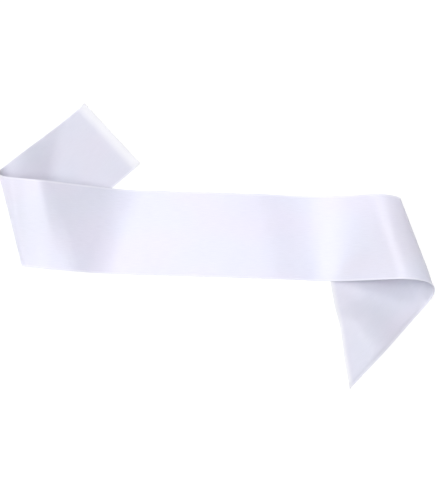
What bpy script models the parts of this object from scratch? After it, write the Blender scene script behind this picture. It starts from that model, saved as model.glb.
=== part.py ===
"""A satin sash that lies on a table, both ends turned under in soft rolls.

The sash is one ribbon, bent only about straight lines that lean across it, so it never stretches.
The front band lies flat. Each end rises, rolls over and turns under the band, and its tail settles
flat on the table. A bend line is given by its station, the distance along the ribbon's centre from
the band's middle, and by its lean, the degrees that turn its upper end outward. A turn is in
degrees, positive where the ribbon turns under.
"""

import math

import bpy
from mathutils import Matrix, Vector

RIBBON_WIDTH = 0.100
WALL = 0.001
SEAM_GAP = 0.0003

HALF_WIDTH = RIBBON_WIDTH / 2
HALF_WALL = WALL / 2

ROW = ("stretch", "start", "end", "lean_start", "lean_end", "turn", "bends")

RIGHT_BENDS = (
    ("rise", 0.103, 0.164, -11, 9, -29, 8),
    ("crest", 0.1965, 0.2185, -19, -18.5, 57, 10),
    ("turn_under", 0.2285, 0.2605, -19, -33.5, 130.5, 20),
)
LEFT_BENDS = (
    ("rise", 0.121, 0.1415, -14.5, -15.5, -31.5, 6),
    ("crest", 0.179, 0.1955, 19.5, 15, 32, 8),
    ("turn_under", 0.234, 0.266, 16, 29, 157, 22),
)

# Where the ribbon is cut, at its upper and its lower edge: a slant on the right, square on the left.
RIGHT_CUT = (0.346, 0.424)
LEFT_CUT = (0.413, 0.414)

# Each tail meets the table over a short length of ribbon, in this many small bends.
RIGHT_SETTLE = 0.010
LEFT_SETTLE = 0.020
SETTLE_BENDS = 5

# Each seam lies in a flat stretch, this far from the nearest bend.
SEAM_CLEARANCE = 0.004

RIGHT = 1
LEFT = -1

# Colours are linear, and each stretch of the satin shows a slightly different side or fall of light.
FACE_COLOR = (0.84, 0.83, 0.92)
ROLL_COLOR = (0.86, 0.85, 0.93)
REVERSE_COLOR = (0.76, 0.75, 0.86)
FACE_ROUGHNESS = 0.38
REVERSE_ROUGHNESS = 0.55


def clear_scene():
    for obj in list(bpy.data.objects):
        bpy.data.objects.remove(obj, do_unlink=True)


def new_collection(name):
    collection = bpy.data.collections.new(name)
    bpy.context.scene.collection.children.link(collection)
    return collection


def satin(name, color, roughness):
    """A woven satin: no metal, a soft gloss on its face and less on its reverse."""
    material = bpy.data.materials.new(name)
    material.use_nodes = True
    shader = material.node_tree.nodes["Principled BSDF"]
    shader.inputs["Base Color"].default_value = (*color, 1)
    shader.inputs["Roughness"].default_value = roughness
    shader.inputs["Metallic"].default_value = 0
    shader.inputs["Sheen Weight"].default_value = 0.3
    return material


def bend_lines(rows):
    """(station, lean, turn) of each bend, spread evenly over its row's stretch."""
    for row in rows:
        stretch = dict(zip(ROW, row))
        for i in range(stretch["bends"]):
            share = (i + 0.5) / stretch["bends"]
            station = stretch["start"] + (stretch["end"] - stretch["start"]) * share
            lean = stretch["lean_start"] + (stretch["lean_end"] - stretch["lean_start"]) * share
            yield station, lean, stretch["turn"] / stretch["bends"]


class FoldedEnd:
    """One end of the ribbon, followed outward from the band's middle and bent line by line."""

    def __init__(self, side):
        self.side = side
        self.placed = Matrix.Translation((0, 0, HALF_WALL))
        self.lines = []

    def point(self, station, across):
        return self.placed @ Vector((self.side * station, across, 0))

    def line(self, station, lean):
        """The upper and lower end of a line across the ribbon."""
        reach = HALF_WIDTH * math.tan(math.radians(lean))
        return self.point(station + reach, HALF_WIDTH), self.point(station - reach, -HALF_WIDTH)

    def mark(self, station, lean):
        self.lines.append(self.line(station, lean))

    def bend(self, station, lean, turn):
        """Turns all of the ribbon beyond a line about that line."""
        upper, lower = self.line(station, lean)
        self.lines.append((upper, lower))
        turned = Matrix.Rotation(math.radians(turn) * self.side, 4, upper - lower)
        self.placed = Matrix.Translation(lower) @ turned @ Matrix.Translation(-lower) @ self.placed

    def settle(self, spread):
        """Rounds the ribbon down onto the table, so that the rest of it lies flat."""
        slope = self.side * self.placed[2][0]
        lean = math.degrees(math.atan(-self.placed[2][1] / slope))
        tilt = math.acos(-self.placed[2][2])
        step = spread / (SETTLE_BENDS - 1)
        falls = [math.sin(tilt * (1 - i / SETTLE_BENDS)) for i in range(1, SETTLE_BENDS)]
        drop = step * math.cos(math.radians(lean)) * sum(falls)
        station = (HALF_WALL + drop - self.placed[2][3]) / slope
        for i in range(SETTLE_BENDS):
            self.bend(station + i * step, lean, math.degrees(tilt) / SETTLE_BENDS)
        return station + spread, lean

    def cut(self, upper, lower):
        self.lines.append((self.point(upper, HALF_WIDTH), self.point(lower, -HALF_WIDTH)))


def folded_end(side, rows, settle, cut):
    """The lines across the band's end, the roll and the tail, in that order."""
    end = FoldedEnd(side)
    bends = list(bend_lines(rows))
    first_station, first_lean, _ = bends[0]
    band_seam = first_station - SEAM_CLEARANCE
    end.mark(band_seam - SEAM_GAP, first_lean)
    end.mark(band_seam, first_lean)
    for station, lean, turn in bends:
        end.bend(station, lean, turn)
    flat_from, flat_lean = end.settle(settle)
    end.mark(flat_from + SEAM_CLEARANCE, flat_lean)
    end.mark(flat_from + SEAM_CLEARANCE + SEAM_GAP, flat_lean)
    end.cut(*cut)
    return end.lines[:1], end.lines[1:-2], end.lines[-2:]


def ribbon_piece(name, lines, material, collection):
    """A stretch of ribbon through its lines, with the wall's thickness laid on both sides."""
    points = [point for line in lines for point in line]
    faces = [(i, i + 1, i + 3, i + 2) for i in range(0, len(points) - 2, 2)]
    mesh = bpy.data.meshes.new(name)
    mesh.from_pydata(points, [], faces)
    mesh.materials.append(material)
    mesh.shade_smooth()
    mesh.set_sharp_from_angle(angle=math.radians(35))
    piece = bpy.data.objects.new(name, mesh)
    collection.objects.link(piece)
    wall = piece.modifiers.new("Wall", "SOLIDIFY")
    wall.thickness = WALL
    wall.offset = 0
    wall.use_even_offset = True
    return piece


def box_centre(pieces):
    """The middle of the pieces' box, seen from above."""
    bpy.context.view_layer.update()
    graph = bpy.context.evaluated_depsgraph_get()
    corners = [Vector(corner) for piece in pieces for corner in piece.evaluated_get(graph).bound_box]
    x = [corner.x for corner in corners]
    y = [corner.y for corner in corners]
    return Vector(((min(x) + max(x)) / 2, (min(y) + max(y)) / 2, 0))


def build_sash():
    left_band, left_roll, left_tail = folded_end(LEFT, LEFT_BENDS, LEFT_SETTLE, LEFT_CUT)
    right_band, right_roll, right_tail = folded_end(RIGHT, RIGHT_BENDS, RIGHT_SETTLE, RIGHT_CUT)
    stretches = (
        ("front_band", left_band + right_band, FACE_COLOR, FACE_ROUGHNESS),
        ("left_roll", left_roll[::-1], ROLL_COLOR, FACE_ROUGHNESS),
        ("left_tail", left_tail[::-1], REVERSE_COLOR, REVERSE_ROUGHNESS),
        ("right_roll", right_roll, ROLL_COLOR, FACE_ROUGHNESS),
        ("right_tail", right_tail, REVERSE_COLOR, REVERSE_ROUGHNESS),
    )
    sash = new_collection("satin_sash")
    pieces = []
    for name, lines, color, roughness in stretches:
        material = satin(f"{name}_satin", color, roughness)
        pieces.append(ribbon_piece(name, lines, material, sash))
    middle = box_centre(pieces)
    for piece in pieces:
        piece.location = -middle


def main():
    clear_scene()
    build_sash()


main()
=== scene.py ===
"""Looks of the satin sash: a thin satin ribbon in place of its solids, with floor, lights and camera.

The ribbon is worked out as a flat strip that bends only about straight lines leaning across it, so
the cloth never stretches. Soft creases are then laid on it in the flat strip's own sizes. A station
is a distance along the strip from the band's middle, and a height across it is measured from its
centre line, upwards. A line across the strip is a pair of stations, where it meets the upper edge
and where it meets the lower one. Sizes are in metres, and angles are in degrees.
"""

import math

import bpy
import numpy as np
from mathutils import Matrix, Vector


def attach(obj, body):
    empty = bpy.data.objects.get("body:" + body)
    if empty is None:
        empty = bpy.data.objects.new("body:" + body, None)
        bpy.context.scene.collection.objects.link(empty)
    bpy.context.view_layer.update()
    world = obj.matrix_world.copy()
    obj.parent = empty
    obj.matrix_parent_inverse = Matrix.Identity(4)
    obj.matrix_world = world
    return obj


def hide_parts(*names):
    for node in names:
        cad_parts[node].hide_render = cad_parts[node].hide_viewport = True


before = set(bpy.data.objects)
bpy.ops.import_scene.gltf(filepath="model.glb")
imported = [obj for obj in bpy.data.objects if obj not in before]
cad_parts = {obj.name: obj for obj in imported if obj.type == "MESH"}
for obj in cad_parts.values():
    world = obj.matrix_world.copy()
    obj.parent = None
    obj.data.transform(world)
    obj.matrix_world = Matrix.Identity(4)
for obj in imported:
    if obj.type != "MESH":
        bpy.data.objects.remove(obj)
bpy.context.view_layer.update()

RIGHT = 1
LEFT = -1
UPPER = 0
LOWER = 1

# The cloth is thicker at its woven edges, which lie on the table and hold its middle surface off it.
RIBBON_WIDTH = 0.100
HALF_WIDTH = RIBBON_WIDTH / 2
CLOTH = 0.00035
SELVEDGE = 0.0007
SELVEDGE_WIDTH = 0.0016
REST_HEIGHT = SELVEDGE / 2

# The selvedge swells by this power of the way into it, to a hair under its full thickness, so that
# it stays clear of the table.
SELVEDGE_ROUNDING = 0.5
SELVEDGE_FILL = 0.999

# A row turns the ribbon, under the band where the turn is positive, by equal bends at so many lines.
# They run from one line to another, each given by its station at the strip's centre and its lean,
# which moves its upper end outward. Stations grow outward at both ends.
BEND = ("name", "start", "end", "lean_start", "lean_end", "turn", "lines")
RIGHT_BENDS = (
    ("rise", 0.103, 0.164, -11, 9, -29, 48),
    ("crest", 0.191, 0.2255, -19, -18.5, 56.6, 44),
    ("turn_under", 0.2267, 0.2611, -19, -33, 130.9, 60),
)
LEFT_BENDS = (
    ("rise", 0.1036, 0.1426, -17, -12, -27, 40),
    ("crest", 0.177, 0.200, 24.9, 22.8, 26.6, 36),
    ("turn_under", 0.2311, 0.2667, 14.7, 29.3, 158.7, 64),
)

# Each tail meets the table over a short length of ribbon, in this many bends.
RIGHT_SETTLE = 0.010
LEFT_SETTLE = 0.020
SETTLE_LINES = 10

# Each cut end's last stretch curls up off the table: its length and its turn.
RIGHT_CURL = (0.006, 12)
LEFT_CURL = (0.014, 40)
CURL_LINES = 12

# The cuts, as lines across the strip: a slant on the right, square on the left.
RIGHT_CUT = (0.346, 0.424)
LEFT_CUT = (0.413, 0.414)

# The mesh has a line this often where the ribbon is flat. Its columns crowd towards the edges, more
# so the nearer the crowding is to 1.
FLAT_PITCH = 0.003
COLUMNS = 65
CROWDING = 0.8
SHARP_ANGLE = 50

# Soft creases. Stations are negative on the left here. A crease's line passes through a station at a
# height across, leans towards greater stations at its upper end and reaches so far both ways. The
# crease falls off over one width before its line and over another after it. It stands up towards the
# face, or sinks where its height is negative.
CREASE = ("name", "station", "across", "lean", "reach", "width_before", "width_after", "height")
CREASES = (
    ("band_swell", 0.052, 0.0, -13, 0.200, 0.110, 0.030, 0.0036),
    ("left_shoulder", -0.2370, 0.0, -10, 0.200, 0.0075, 0.0075, 0.0009),
    ("right_tail_swell", 0.368, -0.024, -16, 0.036, 0.038, 0.024, -0.0150),
    ("right_tail_edge", 0.350, -0.0440, 90, 0.085, 0.0110, 0.0060, -0.0026),
    ("left_tail_fold", -0.3080, 0.042, -37, 0.022, 0.024, 0.016, -0.0045),
    ("left_top_ridge", -0.2040, 0.0, -10, 0.200, 0.0110, 0.0110, 0.0012),
    ("left_tail_under_roll", -0.3000, -0.022, 10, 0.030, 0.012, 0.015, -0.0016),
    ("right_tail_under_band", 0.318, 0.034, -25, 0.028, 0.014, 0.012, -0.0014),
)

# The powers by which a crease falls off to its sides and to its ends. The greater one keeps it level
# for longer, and then ends it sooner.
SIDE_POWER = 2
END_POWER = 4

# Linear colours: each side of the satin drifts between a warmer and a cooler white.
FACE_SHADES = ((0.72, 0.707, 0.805), (0.707, 0.712, 0.81))
REVERSE_SHADES = ((0.650, 0.638, 0.712), (0.638, 0.644, 0.716))
# Partly the selvedge's own paler weave, partly a painted highlight where light glows through the edges.
SELVEDGE_AND_EDGE_HIGHLIGHT_COLOR = (0.86, 0.86, 0.92)
# A painted highlight: the colour that the satin is painted towards at its cut ends.
CUT_END_HIGHLIGHT_COLOR = (0.75, 0.75, 0.78)
WHITE = (1, 1, 1, 1)

FACE_ROUGHNESS = 0.48
REVERSE_ROUGHNESS = 0.6
FACE_GLOSS = 0.55
REVERSE_GLOSS = 0.3
SATIN = {
    "Anisotropic": 0.6,
    "Anisotropic Rotation": 0.25,
    "Sheen Weight": 0.1,
    "Subsurface Weight": 0.9,
    "Subsurface Radius": (1, 1, 1),
    "Subsurface Scale": 0.0006,
}

# Noises on the flat strip: spots a metre along it and across it, then the detail.
WARP_NOISE = (90, 2400, 2.0)
WEFT_NOISE = (1500, 260, 1.0)
TONE_NOISE = (11, 17, 1.0)

# The span of each noise that is used, and how far the warp's moves the colour and the roughness.
TONE_SPAN = (0.35, 0.65)
WARP_SPAN = (0.2, 0.8)
STREAK = (0.97, 1.03)
ROUGHNESS_SPREAD = 0.05

# The weave's bump: the weft's height beside the warp's, its strength and its depth.
WEFT_SHARE = 0.5
WEAVE_STRENGTH = 0.35
WEAVE_DEPTH = 0.0001

# The selvedge's look fades in over a short width. It is rougher than the satin, and a little paler,
# partly for its own denser weave and partly as a painted highlight along the edges.
SELVEDGE_FADE = 0.0006
SELVEDGE_AND_HIGHLIGHT_SHARE = 0.4
SELVEDGE_ROUGHNESS = 0.12

# Distances from a cut at which the painted highlight that pales the satin starts, and at which it is
# palest.
RIGHT_CUT_HIGHLIGHT = (0.007, 0.0)
LEFT_CUT_HIGHLIGHT = (0.016, 0.0032)

# The camera, fitted to the photograph's outline. The lens is in pixels of the picture's width.
PICTURE_WIDTH = 435
LENS_PIXELS = 1034
SENSOR_WIDTH = 36.0
CAMERA_DISTANCE = 1.2
CAMERA_ELEVATION = 79
CAMERA_ROLL = 1.95
CAMERA_TARGET = (0.0027, -0.0049, 0.0)

# A pale floor that glows, as a light table does, and is wide enough to fill the low side views.
FLOOR_SIZE = 60
FLOOR_COLOR = (0.30, 0.30, 0.30)
FLOOR_ROUGHNESS = 0.9
FLOOR_GLOW = 0.75

# Round soft lights that face the origin, with diameters in metres and powers in watts.
LIGHT = ("name", "place", "diameter", "power")
LIGHTS = (
    ("overhead", (-1.8, -1.1, 7.6), 5.5, 490),
    ("behind", (-2.0, 3.4, 6.8), 3.0, 150),
)

# The pale room's strength in front of the sash and behind it.
ROOM_FRONT = 0.42
ROOM_BACK = 0.08


def rows_of(columns, table):
    """The rows of a table, each as a dictionary by its columns' names."""
    return [dict(zip(columns, row)) for row in table]


def line_at(station, lean):
    """The line across the strip that has a station at the centre and a lean."""
    reach = HALF_WIDTH * math.tan(math.radians(lean))
    return station + reach, station - reach


def centre_of(line):
    return sum(line) / 2


class FoldedEnd:
    """One end of the ribbon, followed outward from the band's middle and bent line by line."""

    def __init__(self, side):
        self.side = side
        self.placed = Matrix.Translation((0, 0, REST_HEIGHT))
        self.upper = []
        self.lower = []
        self.flat = []

    def point(self, station, across):
        return self.placed @ Vector((self.side * station, across, 0))

    def bend(self, line, turn=0.0):
        """Adds a line across the ribbon, and turns all of the ribbon beyond it."""
        upper = self.point(line[UPPER], HALF_WIDTH)
        lower = self.point(line[LOWER], -HALF_WIDTH)
        self.upper.append(upper)
        self.lower.append(lower)
        self.flat.append([self.side * station for station in line])
        if turn:
            turned = Matrix.Rotation(math.radians(turn) * self.side, 4, upper - lower)
            self.placed = Matrix.Translation(lower) @ turned @ Matrix.Translation(-lower) @ self.placed

    def stretch(self, start, end, lines, turn=0.0):
        """Lines spread evenly from one line to another, sharing a turn."""
        for i in range(lines):
            share = (i + 0.5) / lines
            line = [first + (last - first) * share for first, last in zip(start, end)]
            self.bend(line, turn / lines)

    def flat_stretch(self, start, end):
        lines = max(1, round((centre_of(end) - centre_of(start)) / FLAT_PITCH))
        self.stretch(start, end, lines)

    def landing(self, spread):
        """How the ribbon rounds down onto the table and becomes flat, over a length of itself.

        Gives the first bend's station and lean, the step from bend to bend, and the turn of each.
        """
        slope = self.side * self.placed[2][0]
        lean = math.degrees(math.atan(-self.placed[2][1] / slope))
        tilt = math.acos(-self.placed[2][2])
        step = spread / (SETTLE_LINES - 1)
        falls = [math.sin(tilt * (1 - i / SETTLE_LINES)) for i in range(1, SETTLE_LINES)]
        drop = step * math.cos(math.radians(lean)) * sum(falls)
        station = (REST_HEIGHT + drop - self.placed[2][3]) / slope
        return station, lean, step, math.degrees(tilt) / SETTLE_LINES


def folded_end(side, bends, settle, curl, cut):
    """The rise, the roll and the tail of one end, down to the table and out to the cut."""
    end = FoldedEnd(side)
    reached = (0.0, 0.0)
    for row in rows_of(BEND, bends):
        start = line_at(row["start"], row["lean_start"])
        stop = line_at(row["end"], row["lean_end"])
        end.flat_stretch(reached, start)
        end.stretch(start, stop, row["lines"], row["turn"])
        reached = stop
    station, lean, step, turn = end.landing(settle)
    end.flat_stretch(reached, line_at(station, lean))
    for i in range(SETTLE_LINES):
        end.bend(line_at(station + i * step, lean), turn)
    reached = line_at(station + SETTLE_LINES * step, lean)
    curl_length, curl_turn = curl
    curl_start = [edge - curl_length for edge in cut]
    end.flat_stretch(reached, curl_start)
    end.stretch(curl_start, cut, CURL_LINES, curl_turn)
    end.bend(cut)
    return end


def base_grid():
    """The ribbon's middle surface and its flat pattern, as grids: along the ribbon, then across it."""
    left = folded_end(LEFT, LEFT_BENDS, LEFT_SETTLE, LEFT_CURL, LEFT_CUT)
    right = folded_end(RIGHT, RIGHT_BENDS, RIGHT_SETTLE, RIGHT_CURL, RIGHT_CUT)
    upper = np.array(left.upper[::-1] + right.upper)
    lower = np.array(left.lower[::-1] + right.lower)
    flat = np.array(left.flat[::-1] + right.flat)
    angle = np.linspace(-0.5, 0.5, COLUMNS) * math.pi * CROWDING
    across = np.sin(angle) / np.sin(angle[-1])
    share = (across + 1) / 2
    points = lower[:, None] + (upper - lower)[:, None] * share[:, None]
    along = flat[:, LOWER, None] + (flat[:, UPPER] - flat[:, LOWER])[:, None] * share
    pattern = np.stack([along, np.broadcast_to(across * HALF_WIDTH, along.shape)], -1)
    middle = (points[..., :2].min((0, 1)) + points[..., :2].max((0, 1))) / 2
    points[..., :2] -= middle
    return points, pattern


def crease_heights(pattern):
    """How far the creases lift the ribbon towards its face, from its flat pattern."""
    height = np.zeros(pattern.shape[:2])
    for row in rows_of(CREASE, CREASES):
        along = pattern[..., 0] - row["station"]
        across = pattern[..., 1] - row["across"]
        lean = math.radians(row["lean"])
        off = along * math.cos(lean) - across * math.sin(lean)
        run = along * math.sin(lean) + across * math.cos(lean)
        width = np.where(off < 0, row["width_before"], row["width_after"])
        fall = np.abs(off / width) ** SIDE_POWER + np.abs(run / row["reach"]) ** END_POWER
        height += row["height"] * np.exp(-fall)
    return height


def cloth_thickness(pattern):
    """The thickness of the cloth, which swells at its selvedges."""
    into = (np.abs(pattern[..., 1]) - (HALF_WIDTH - SELVEDGE_WIDTH)) / SELVEDGE_WIDTH
    swell = np.clip(into, 0, 1) ** SELVEDGE_ROUNDING
    return CLOTH + (SELVEDGE - CLOTH) * SELVEDGE_FILL * swell


def normals_of(points):
    """The direction that the face looks in, at each point of a grid."""
    normal = np.cross(np.gradient(points, axis=0), np.gradient(points, axis=1))
    return normal / np.linalg.norm(normal, axis=-1, keepdims=True)


def shell_faces(rows, columns):
    """Four-cornered faces of a shell's face, reverse and rim, as numbers of its points."""
    number = np.arange(rows * columns).reshape(rows, columns)
    corners = [number[:-1, :-1], number[1:, :-1], number[1:, 1:], number[:-1, 1:]]
    face = np.stack(corners, -1).reshape(-1, 4)
    reverse = face[:, ::-1] + number.size
    edge = np.concatenate([number[:, 0], number[-1, 1:], number[-2::-1, -1], number[0, -2::-1]])
    here, ahead = edge[:-1], edge[1:]
    rim = np.stack([here, here + number.size, ahead + number.size, ahead], -1)
    return face, reverse, rim


def shell_mesh(name, points, pattern, thickness):
    """A closed thin shell round the middle surface. Its face and rim have the first of its satins."""
    offset = normals_of(points) * thickness[..., None] / 2
    vertices = np.concatenate([(points + offset).reshape(-1, 3), (points - offset).reshape(-1, 3)])
    face, reverse, rim = shell_faces(*points.shape[:2])
    mesh = bpy.data.meshes.new(name)
    mesh.from_pydata(vertices.tolist(), [], np.concatenate([face, reverse, rim]).tolist())
    satins = [0] * len(face) + [1] * len(reverse) + [0] * len(rim)
    mesh.polygons.foreach_set("material_index", satins)
    cloth = mesh.uv_layers.new(name="cloth")
    flat = np.concatenate([pattern.reshape(-1, 2)] * 2)
    corner = np.empty(len(mesh.loops), np.int32)
    mesh.loops.foreach_get("vertex_index", corner)
    cloth.uv.foreach_set("vector", flat[corner].astype(np.float32).ravel())
    mesh.shade_smooth()
    mesh.set_sharp_from_angle(angle=math.radians(SHARP_ANGLE))
    mesh.validate()
    return mesh


def add_node(tree, kind, inputs, **settings):
    """A new node, with its settings and with each input linked or given its value."""
    node = tree.nodes.new(kind)
    for name, value in settings.items():
        setattr(node, name, value)
    for socket, value in inputs.items():
        if isinstance(value, bpy.types.NodeSocket):
            tree.links.new(value, node.inputs[socket])
        else:
            node.inputs[socket].default_value = value
    return node


def math_node(tree, operation, first, second=0.0):
    return add_node(tree, "ShaderNodeMath", {0: first, 1: second}, operation=operation).outputs[0]


def ramp(tree, value, start, end, low=0.0, high=1.0, shape="SMOOTHSTEP"):
    """A value mapped from one range to another, smoothly unless another shape is named."""
    inputs = {"Value": value, "From Min": start, "From Max": end, "To Min": low, "To Max": high}
    return add_node(tree, "ShaderNodeMapRange", inputs, interpolation_type=shape).outputs[0]


def noise(tree, flat, along, across, detail):
    """Noise on the flat strip, with so many spots a metre along it and across it."""
    scaled = add_node(tree, "ShaderNodeMapping", {"Vector": flat, "Scale": (along, across, 1)}).outputs[0]
    inputs = {"Vector": scaled, "Scale": 1.0, "Detail": detail}
    return add_node(tree, "ShaderNodeTexNoise", inputs).outputs[0]


def mix_color(tree, factor, first, second, blend="MIX"):
    inputs = {"Factor": factor, "A": first, "B": second}
    return add_node(tree, "ShaderNodeMix", inputs, data_type="RGBA", blend_type=blend).outputs["Result"]


def selvedge_and_highlight_share(tree, across):
    """How far a point is into a selvedge's look, from 0 to 1: its roughness, and its paler colour, which
    is partly a painted highlight.
    """
    inner = HALF_WIDTH - SELVEDGE_WIDTH
    return ramp(tree, math_node(tree, "ABSOLUTE", across), inner - SELVEDGE_FADE, inner)


def cut_end_highlight_share(tree, along, across):
    """How far a point is into the painted highlight at a cut end, from 0 to 1. The right end is cut on a
    slant.
    """
    slant = (RIGHT_CUT[LOWER] - RIGHT_CUT[UPPER]) / RIBBON_WIDTH
    run = math_node(tree, "ADD", along, math_node(tree, "MULTIPLY", across, slant))
    back = math_node(tree, "MULTIPLY", along, -1.0)
    start, full = [centre_of(RIGHT_CUT) - distance * math.hypot(1, slant) for distance in RIGHT_CUT_HIGHLIGHT]
    right = ramp(tree, run, start, full)
    start, full = [centre_of(LEFT_CUT) - distance for distance in LEFT_CUT_HIGHLIGHT]
    left = ramp(tree, back, start, full)
    return math_node(tree, "MAXIMUM", left, right)


def satin(name, shades, roughness, gloss):
    """Woven satin: warp threads along the ribbon, plain selvedges that are paler partly for their weave
    and partly as a painted highlight, and cut ends painted paler as a painted highlight.
    """
    material = bpy.data.materials.new(name)
    material.use_nodes = True
    tree = material.node_tree
    shader = tree.nodes["Principled BSDF"]
    flat = add_node(tree, "ShaderNodeUVMap", {}, uv_map="cloth").outputs[0]
    split = add_node(tree, "ShaderNodeSeparateXYZ", {"Vector": flat})
    warp = noise(tree, flat, *WARP_NOISE)
    weft = noise(tree, flat, *WEFT_NOISE)
    tone = noise(tree, flat, *TONE_NOISE)
    selvedge = selvedge_and_highlight_share(tree, split.outputs["Y"])
    cut_highlight = cut_end_highlight_share(tree, split.outputs["X"], split.outputs["Y"])

    warmer, cooler = shades
    color = mix_color(tree, ramp(tree, tone, *TONE_SPAN), (*warmer, 1), (*cooler, 1))
    color = mix_color(tree, 1.0, color, ramp(tree, warp, *WARP_SPAN, *STREAK), "MULTIPLY")
    # Partly painted highlight: the selvedges are painted paler, in part for their weave and in part for
    # light along the edges.
    paler = math_node(tree, "MULTIPLY", selvedge, SELVEDGE_AND_HIGHLIGHT_SHARE)
    color = mix_color(tree, paler, color, (*SELVEDGE_AND_EDGE_HIGHLIGHT_COLOR, 1))
    # Painted highlight: the satin is painted paler towards each cut end.
    color = mix_color(tree, cut_highlight, color, (*CUT_END_HIGHLIGHT_COLOR, 1))
    tree.links.new(color, shader.inputs["Base Color"])

    rough = ramp(tree, warp, *WARP_SPAN, roughness - ROUGHNESS_SPREAD, roughness + ROUGHNESS_SPREAD)
    rougher = math_node(tree, "MULTIPLY", selvedge, SELVEDGE_ROUGHNESS)
    tree.links.new(math_node(tree, "ADD", rough, rougher), shader.inputs["Roughness"])

    weave = math_node(tree, "ADD", warp, math_node(tree, "MULTIPLY", weft, WEFT_SHARE))
    relief = {"Strength": WEAVE_STRENGTH, "Distance": WEAVE_DEPTH, "Height": weave}
    tree.links.new(add_node(tree, "ShaderNodeBump", relief).outputs["Normal"], shader.inputs["Normal"])
    tangent = add_node(tree, "ShaderNodeTangent", {}, direction_type="UV_MAP", uv_map="cloth")
    tree.links.new(tangent.outputs["Tangent"], shader.inputs["Tangent"])

    shader.inputs["Specular IOR Level"].default_value = gloss
    for socket, value in SATIN.items():
        shader.inputs[socket].default_value = value
    return material


def satin_ribbon(collection):
    """The whole sash as one closed thin shell: folded, creased and finished as satin on both sides."""
    points, pattern = base_grid()
    points += normals_of(points) * crease_heights(pattern)[..., None]
    points[..., 2] = np.maximum(points[..., 2], REST_HEIGHT)
    mesh = shell_mesh("satin_ribbon", points, pattern, cloth_thickness(pattern))
    mesh.materials.append(satin("satin_face", FACE_SHADES, FACE_ROUGHNESS, FACE_GLOSS))
    mesh.materials.append(satin("satin_reverse", REVERSE_SHADES, REVERSE_ROUGHNESS, REVERSE_GLOSS))
    ribbon = bpy.data.objects.new("satin_ribbon", mesh)
    collection.objects.link(ribbon)
    return ribbon


def white_floor():
    bpy.ops.mesh.primitive_plane_add(size=FLOOR_SIZE)
    floor = bpy.context.object
    floor.name = "floor"
    material = bpy.data.materials.new("floor")
    material.use_nodes = True
    shader = material.node_tree.nodes["Principled BSDF"]
    shader.inputs["Base Color"].default_value = (*FLOOR_COLOR, 1)
    shader.inputs["Roughness"].default_value = FLOOR_ROUGHNESS
    shader.inputs["Emission Color"].default_value = WHITE
    shader.inputs["Emission Strength"].default_value = FLOOR_GLOW
    floor.data.materials.append(material)


def aim(obj, place, target):
    """Puts a light or a camera at a place, facing a target."""
    obj.location = place
    obj.rotation_euler = (Vector(target) - Vector(place)).to_track_quat("-Z", "Y").to_euler()


def soft_light(light):
    data = bpy.data.lights.new(light["name"], "AREA")
    data.shape = "DISK"
    data.size = light["diameter"]
    data.energy = light["power"]
    lamp = bpy.data.objects.new(light["name"], data)
    bpy.context.scene.collection.objects.link(lamp)
    aim(lamp, light["place"], (0, 0, 0))


def studio():
    """A soft light overhead, a weaker one behind, and a pale room, brighter in front than behind."""
    for light in rows_of(LIGHT, LIGHTS):
        soft_light(light)
    world = bpy.data.worlds.new("studio")
    world.use_nodes = True
    tree = world.node_tree
    direction = add_node(tree, "ShaderNodeTexCoord", {}).outputs["Generated"]
    backward = add_node(tree, "ShaderNodeSeparateXYZ", {"Vector": direction}).outputs["Y"]
    strength = ramp(tree, backward, -1, 1, ROOM_FRONT, ROOM_BACK, shape="LINEAR")
    background = tree.nodes["Background"]
    tree.links.new(strength, background.inputs["Strength"])
    background.inputs["Color"].default_value = WHITE
    bpy.context.scene.world = world
    bpy.context.scene.view_settings.view_transform = "Standard"


def photo_camera():
    data = bpy.data.cameras.new("photo_camera")
    data.sensor_fit = "HORIZONTAL"
    data.sensor_width = SENSOR_WIDTH
    data.lens = LENS_PIXELS / PICTURE_WIDTH * SENSOR_WIDTH
    camera = bpy.data.objects.new("photo_camera", data)
    bpy.context.scene.collection.objects.link(camera)
    angle = math.radians(CAMERA_ELEVATION)
    target = Vector(CAMERA_TARGET)
    place = target + CAMERA_DISTANCE * Vector((0, -math.cos(angle), math.sin(angle)))
    aim(camera, place, target)
    camera.rotation_euler.rotate_axis("Z", math.radians(CAMERA_ROLL))
    bpy.context.scene.camera = camera


sash = bpy.data.collections.new("satin_sash")
bpy.context.scene.collection.children.link(sash)

ribbon = satin_ribbon(sash)
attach(ribbon, "root")
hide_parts("front_band", "left_roll", "left_tail", "right_roll", "right_tail")

# The strip as it was cut has its lower edge longer than its upper one.
white_floor()
studio()
photo_camera()
